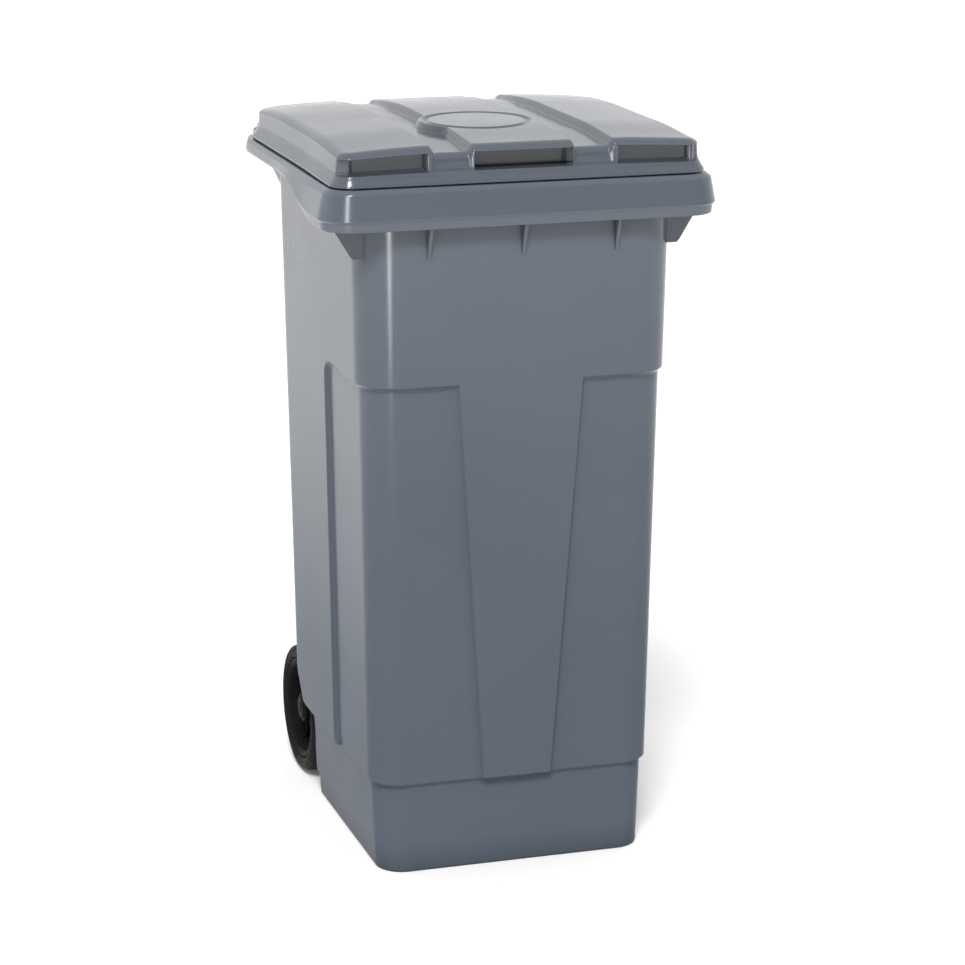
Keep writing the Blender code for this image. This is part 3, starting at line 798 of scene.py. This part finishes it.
def lid_solid(name, fine=True):
    """The lid's outer form as a closed mesh, or the plain space inside it as a cutter."""
    half_xs, ys, half, front, rear = lid_lines(fine)
    shrink = 0.0 if fine else WALL
    xs = [-x for x in reversed(half_xs[1:])] + half_xs
    bm = bmesh.new()
    grid = []
    for y in ys:
        row = []
        for x in xs:
            bx, by, normal = bend_corner(x, y, half, front, rear)
            if fine:
                row.append((bm.verts.new((bx, by, lid_height(bx, by))), normal))
            else:
                bx -= normal[0] * WALL * (abs(x) / half)
                row.append((bm.verts.new((bx, by, crown(by) - GROOVE_DEEP - WALL - 0.002)), normal))
        grid.append(row)
    for low, high in zip(grid, grid[1:]):
        for i in range(len(xs) - 1):
            bm.faces.new((low[i][0], low[i + 1][0], high[i + 1][0], high[i][0]))
    boundary = grid[0][:-1] + [row[-1] for row in grid[:-1]]
    boundary += list(reversed(grid[-1][1:])) + [row[0] for row in reversed(grid[1:])]
    stacks = []
    for vert, normal in boundary:
        x, y, top = vert.co
        reach = 1.6 if normal[1] > 0 else 1.0
        if fine:
            section = lid_profile(x, y, normal, top, crown(y) - camber(x))[1:]
        else:
            section = [(0.0150, top - 0.0015), (0.0115, top - 0.006), (0.0060, 1.024), (0.0, 1.017),
                       (0.0, LID_RIM - 0.010)]
        stack = [vert]
        for inward, z in section:
            move = LID_TOP_IN - inward - shrink
            stack.append(bm.verts.new((x + normal[0] * move, y + normal[1] * move * reach, z)))
        stacks.append(stack)
    count = len(stacks)
    for i in range(count):
        left, right = stacks[i], stacks[(i + 1) % count]
        for k in range(len(left) - 1):
            bm.faces.new((left[k], left[k + 1], right[k + 1], right[k]))
    bm.faces.new([stack[-1] for stack in stacks])
    for vert in bm.verts:
        vert.co.x = widen(vert.co.x, vert.co.y)
    return new_object(name, bm)


def pocket_housing(name, x_low, x_high, back):
    """The space that a pocket and its walls take inside the lid."""
    points = rounded([(x_low, 1.0235, 0.003), (x_high, 1.0235, 0.003), (x_high, 1.1, 0), (x_low, 1.1, 0)],
                     closed=True)
    return plate(name, points, FRONT - 0.02, back)


def lid_shell():
    body = lid_solid("lid_shell")
    hollow = lid_solid("cut_lid_inside", fine=False)
    back = LID_FRONT + 0.0345 + WALL
    keep = [pocket_housing("keep_middle", -0.0745, 0.0745, back)]
    for side in (-1, 1):
        keep.append(pocket_housing("keep_side", *ordered(side, 0.1315, 0.300), LID_FRONT + 0.0290))
    carve(hollow, keep)
    ribs = []
    for x in (-0.190, -0.063, 0.063, 0.190):
        ribs.append(prism("keep_rib", [(-0.275, 1.034), (0.170, 1.026), (0.170, 1.1), (-0.275, 1.1)],
                          x - 0.0012, x + 0.0012, 0))
    carve(hollow, [join(ribs)])
    carve(body, [hollow])
    arm = [(0.205, 1.0148, 0.001), (0.252, 1.0148, 0.008), (0.300, 0.9870, 0.004), (0.318, 0.9850, 0.004),
           (0.3285, 1.0010, 0.004), (0.300, 1.0200, 0.012), (0.262, 1.0310, 0.020), (0.205, 1.0380, 0.001)]
    for side in (-1, 1):
        piece = prism("arm", rounded(arm, closed=True), *ordered(side, *KNUCKLE), 0.0012)
        low, high = ordered(side, *KNUCKLE)
        middle, reach = (low + high) / 2, (high - low) / 2
        knuckle = turned("knuckle", [(0.0, reach, 0), (0.0148, reach, 0.001), (0.0148, -reach, 0.001),
                                     (0.0, -reach, 0)], 1, HINGE_Y, HINGE_Z, closed=False)
        knuckle.data.transform(Matrix.Translation((middle, 0, 0)))
        carve(piece, [knuckle], "UNION")
        carve(piece, [rod("hole", PIN_R + GAP, low - 0.01, high + 0.01, HINGE_Y, HINGE_Z, 32)])
        carve(body, [piece], "UNION")
    finish_mesh(body, LID_GREY)
    return body


# ---- hinge hardware, chip nest plug ---------------------------------------------------------
def hinge_pin(side):
    head = OUTER_LUG[1] + GAP
    tip = INNER_LUG[0] + 0.0015
    return turned("hinge_pin_turned", [
        (0.0, head + 0.004, 0), (0.0085, head + 0.004, 0.0010), (0.0085, head, 0.0005),
        (PIN_R, head, 0.0003), (PIN_R, tip + 0.003, 0.0008), (0.0035, tip, 0.0005), (0.0, tip, 0)],
        side, HINGE_Y, HINGE_Z, closed=False)


def hinge_pin_cap(side):
    seat = OUTER_LUG[1] + GAP
    return turned("hinge_cap_turned", [
        (0.0, seat + 0.0075, 0), (0.0090, seat + 0.0075, 0.0015), (0.0120, seat + 0.0050, 0.0015),
        (0.0120, seat, 0.0005), (0.0089, seat, 0.0003), (0.0089, seat + 0.0045, 0.0003),
        (0.0, seat + 0.0045, 0)], side, HINGE_Y, HINGE_Z, closed=False)


def chip_nest_plug():
    top = LEDGE + 0.012 - GAP
    bottom = LEDGE - 0.002
    obj = turned("chip_plug_turned", [
        (0.0, bottom + 0.0008, 0), (0.0055, bottom + 0.0008, 0.0004), (0.0062, bottom, 0.0003),
        (CHIP_R, bottom, 0.0010), (CHIP_R, top, 0.0006), (0.0, top, 0)], 1, 0.0, 0.0, closed=False)
    obj.data.transform(Matrix.Rotation(-math.pi / 2, 4, "Y"))
    obj.data.transform(Matrix.Translation((CHIP_X, CHIP_Y, 0.0)))
    return obj


# ---- running gear ---------------------------------------------------------------------------
def tyre(side):
    """Solid tyre: rounded shoulders, a fine rib at each side of the tread and a mould line."""
    outer, inner = WHEEL_OUT, WHEEL_OUT - TYRE_W
    corners = [
        (TYRE_R_IN + GAP, outer - 0.004, 0.0005), (TYRE_R_IN + 0.004, outer - 0.0006, 0.0010),
        (0.0860, outer, 0.0010), (0.0868, outer - 0.0010, 0.0004), (0.0880, outer - 0.0010, 0.0004),
        (0.0888, outer, 0.0006), (0.0925, outer - 0.0004, 0.0030), (0.0978, outer - 0.0045, 0.0040),
        (0.0994, outer - 0.0110, 0.0020), (0.0982, outer - 0.0125, 0.0005), (0.0982, outer - 0.0140, 0.0005),
        (WHEEL_R, outer - 0.0155, 0.0008), (WHEEL_R, outer - 0.0215, 0.0003),
        (WHEEL_R - 0.0003, outer - 0.0218, 0), (WHEEL_R - 0.0003, outer - 0.0232, 0),
        (WHEEL_R, outer - 0.0235, 0.0003)]
    mirror = [(r, outer + inner - x, bend) for r, x, bend in reversed(corners[:-4])]
    return turned("tyre_turned", corners + mirror, side, WHEEL_Y, WHEEL_R, steps=128)


def wheel_hub(side):
    """Rim, dished web and barrel, with radial ribs in the dish."""
    corners = [
        (BORE_R + GAP, HUB_OUT, 0.0004), (0.0235, HUB_OUT, 0.0010), (0.0250, HUB_OUT - 0.0075, 0.0030),
        (0.0600, HUB_OUT - 0.0120, 0.0080), (0.0690, WHEEL_OUT - 0.0070, 0.0040),
        (0.0735, WHEEL_OUT - 0.0036, 0.0016), (0.0785, WHEEL_OUT - 0.0040, 0.0010),
        (TYRE_R_IN, WHEEL_OUT - 0.0060, 0.0005), (TYRE_R_IN, WHEEL_OUT - TYRE_W + 0.0060, 0.0005),
        (0.0785, WHEEL_OUT - TYRE_W + 0.0040, 0.0010), (0.0735, WHEEL_OUT - TYRE_W + 0.0036, 0.0016),
        (0.0690, WHEEL_OUT - TYRE_W + 0.0100, 0.0040), (0.0600, HUB_OUT - 0.0200, 0.0080),
        (0.0260, HUB_OUT - 0.0145, 0.0040), (0.0240, HUB_IN, 0.0008), (BORE_R + GAP, HUB_IN, 0.0004)]
    hub = turned("hub_turned", corners, side, WHEEL_Y, WHEEL_R, steps=96)
    ribs = []
    for k in range(8):
        bm = loft([[(side * x, r, t) for x, r in ((HUB_OUT - 0.014, 0.0230), (HUB_OUT - 0.014, 0.0660),
                                                  (HUB_OUT + 0.0045, 0.0690), (HUB_OUT - 0.0050, 0.0560),
                                                  (HUB_OUT - 0.0020, 0.0230))]
                   for t in (-0.0015, 0.0015)])
        rib = new_object("hub_rib", bm)
        bevel(rib, 0.0006)
        rib.data.transform(Matrix.Rotation(2 * math.pi * (k + 0.5) / 8, 4, "X"))
        rib.data.transform(Matrix.Translation((0.0, WHEEL_Y, WHEEL_R)))
        ribs.append(rib)
    carve(hub, [join(ribs)], "UNION")
    return hub


def wheel_bush(side):
    return turned("bush_turned", [
        (AXLE_R + GAP, HUB_OUT - 0.001, 0.0003), (BORE_R, HUB_OUT - 0.001, 0.0005),
        (BORE_R, HUB_IN + 0.001, 0.0005), (AXLE_R + GAP, HUB_IN + 0.001, 0.0003)], side, WHEEL_Y, WHEEL_R)


def axle():
    return turned("axle_turned", [
        (0.0, AXLE_HALF, 0), (AXLE_R, AXLE_HALF, 0.0012), (AXLE_R, -AXLE_HALF, 0.0012),
        (0.0, -AXLE_HALF, 0)], 1, WHEEL_Y, WHEEL_R, closed=False)


def inner_washer(side):
    outer = HUB_IN - GAP
    return turned("washer_turned", [
        (AXLE_R + GAP, outer, 0.0002), (0.018, outer, 0.0004), (0.018, outer - 0.002, 0.0006),
        (AXLE_R + GAP, outer - 0.002, 0.0003)], side, WHEEL_Y, WHEEL_R)


def retaining_ring(side):
    seat = HUB_OUT + GAP
    return turned("ring_turned", [
        (AXLE_R + GAP, seat + 0.0030, 0.0002), (0.0130, seat + 0.0015, 0.0004),
        (0.0170, seat + 0.0015, 0.0004), (0.0170, seat, 0.0002), (AXLE_R + GAP, seat, 0.0002)],
        side, WHEEL_Y, WHEEL_R)


def hub_cap(side):
    seat = HUB_OUT + GAP
    return turned("hub_cap_turned", [
        (0.0, seat + 0.0115, 0), (0.0070, seat + 0.0114, 0.0006), (0.0085, seat + 0.0104, 0.0004),
        (0.0160, seat + 0.0100, 0.0030), (0.0225, seat + 0.0060, 0.0030), (0.0235, seat, 0.0004),
        (0.0185, seat, 0.0003), (0.0180, seat + 0.0060, 0.0010), (0.0140, seat + 0.0085, 0.0010),
        (0.0, seat + 0.0090, 0)], side, WHEEL_Y, WHEEL_R, closed=False)


# ---- assembly -------------------------------------------------------------------------------
def fit(obj, name, node, body):
    obj.name = name
    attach(obj, body)
    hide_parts(node)


fit(container_shell(), "container_shell", "container_body", "container")
fit(lid_shell(), "lid_shell", "lid", "lid")

HARDWARE = (
    # maker, name, CAD node, material, body, slot
    (hinge_pin, "hinge_pin_detail", "hinge_pin", BLACK, "container", "black_plastic"),
    (hinge_pin_cap, "hinge_cap_detail", "hinge_pin_cap", BODY_GREY, "container", "container"),
    (inner_washer, "washer_detail", "inner_washer", ZINC, "container", "zinc_steel"),
    (retaining_ring, "ring_detail", "retaining_ring", ZINC, "container", "zinc_steel"),
    (tyre, "tyre_detail", "tyre", RUBBER, "wheel", "tyre"),
    (wheel_hub, "hub_detail", "wheel_hub", BLACK, "wheel", "black_plastic"),
    (wheel_bush, "bush_detail", "wheel_bush", NYLON, "wheel", "nylon"),
    (hub_cap, "hub_cap_detail", "hub_cap", BLACK, "wheel", "black_plastic"),
)
for side, word in ((-1, "left"), (1, "right")):
    for make, name, node, material, body, slot in HARDWARE:
        piece = make(side)
        finish_mesh(piece, material, 40)
        rides = body if body == "container" else body + "_" + word
        fit(piece, f"{name}_{word}", f"{node}_{word}", rides)
SINGLES = (
    (chip_nest_plug, "chip_plug_detail", "chip_nest_plug", BLACK, "black_plastic"),
    (axle, "axle_detail", "axle", ZINC, "zinc_steel"),
)
for make, name, node, material, slot in SINGLES:
    piece = make()
    finish_mesh(piece, material, 40)
    fit(piece, name, node, "container")


# ---- studio ---------------------------------------------------------------------------------
def floor():
    bm = bmesh.new()
    bmesh.ops.create_circle(bm, cap_ends=True, segments=96, radius=40.0)
    n = Nodes("studio_floor")
    n.wire("Base Color", n.mix(n.noise(0.6, 2.0), (0.95, 0.95, 0.95), (0.94, 0.94, 0.94)))
    n.shader.inputs["Roughness"].default_value = 0.9
    n.shader.inputs["Emission Color"].default_value = (1.0, 1.0, 1.0, 1.0)
    n.shader.inputs["Emission Strength"].default_value = 0.06
    n.shader.inputs["Specular IOR Level"].default_value = 0.1
    obj = new_object("studio_floor", bm, n.material)


def softbox(name, place, aim, width, height, power, colour=(1.0, 1.0, 1.0)):
    data = bpy.data.lights.new(name, "AREA")
    data.shape = "RECTANGLE"
    data.size = width
    data.size_y = height
    data.energy = power
    data.color = colour
    obj = bpy.data.objects.new(name, data)
    obj.location = place
    obj.rotation_euler = (Vector(aim) - Vector(place)).to_track_quat("-Z", "Y").to_euler()
    obj.visible_diffuse = False
    bpy.context.scene.collection.objects.link(obj)


def camera():
    data = bpy.data.cameras.new("camera")
    data.sensor_width = 36.0
    data.lens = 115.97
    data.clip_end = 100.0
    obj = bpy.data.objects.new("camera", data)
    yaw, pitch, roll = math.radians(-17.600), math.radians(14.988), math.radians(0.240)
    back = Vector((math.sin(yaw) * math.cos(pitch), -math.cos(yaw) * math.cos(pitch), math.sin(pitch)))
    level = (-back).cross(Vector((0, 0, 1))).normalized()
    upright = level.cross(-back)
    right = math.cos(roll) * level + math.sin(roll) * upright
    up = -math.sin(roll) * level + math.cos(roll) * upright
    matrix = Matrix((right, up, back)).transposed().to_4x4()
    matrix.translation = Vector((-1.3384, -4.3521, 1.7181))
    obj.matrix_world = matrix
    bpy.context.scene.collection.objects.link(obj)
    bpy.context.scene.camera = obj


def sun(name, direction, strength, spread_degrees, colour):
    data = bpy.data.lights.new(name, "SUN")
    data.energy = strength
    data.angle = math.radians(spread_degrees)
    data.color = colour
    obj = bpy.data.objects.new(name, data)
    obj.rotation_euler = Vector(direction).to_track_quat("-Z", "Y").to_euler()
    bpy.context.scene.collection.objects.link(obj)


def surroundings(behind, ahead, zenith):
    """A white room: bright behind and to the sides, less so overhead and in front."""
    world = bpy.data.worlds.new("studio")
    world.use_nodes = True
    tree = world.node_tree
    coordinates = tree.nodes.new("ShaderNodeTexCoord")
    split = tree.nodes.new("ShaderNodeSeparateXYZ")
    tree.links.new(coordinates.outputs["Generated"], split.inputs["Vector"])
    levels = []
    for axis, spans in (("Y", (-0.5, 0.3, ahead, behind)), ("Z", (0.3, 0.9, 0.0, 1.0))):
        level = tree.nodes.new("ShaderNodeMapRange")
        tree.links.new(split.outputs[axis], level.inputs["Value"])
        for key, number in zip(("From Min", "From Max", "To Min", "To Max"), spans):
            level.inputs[key].default_value = number
        levels.append(level.outputs["Result"])
    blend = tree.nodes.new("ShaderNodeMix")
    tree.links.new(levels[1], blend.inputs["Factor"])
    tree.links.new(levels[0], blend.inputs["A"])
    blend.inputs["B"].default_value = zenith
    background = tree.nodes["Background"]
    background.inputs["Color"].default_value = (1.0, 1.0, 1.0, 1.0)
    tree.links.new(blend.outputs["Result"], background.inputs["Strength"])
    bpy.context.scene.world = world


floor()
surroundings(1.0, 0.22, 0.60)
sun("key", (0.22, 0.56, -0.80), 2.50, 16.0, (1.0, 0.985, 0.96))
softbox("front_strip", (-1.36, -2.67, 1.25), (0.0, -0.2, 0.90), 0.44, 2.4, 34.0)
bpy.context.scene.view_settings.view_transform = "Standard"
camera()
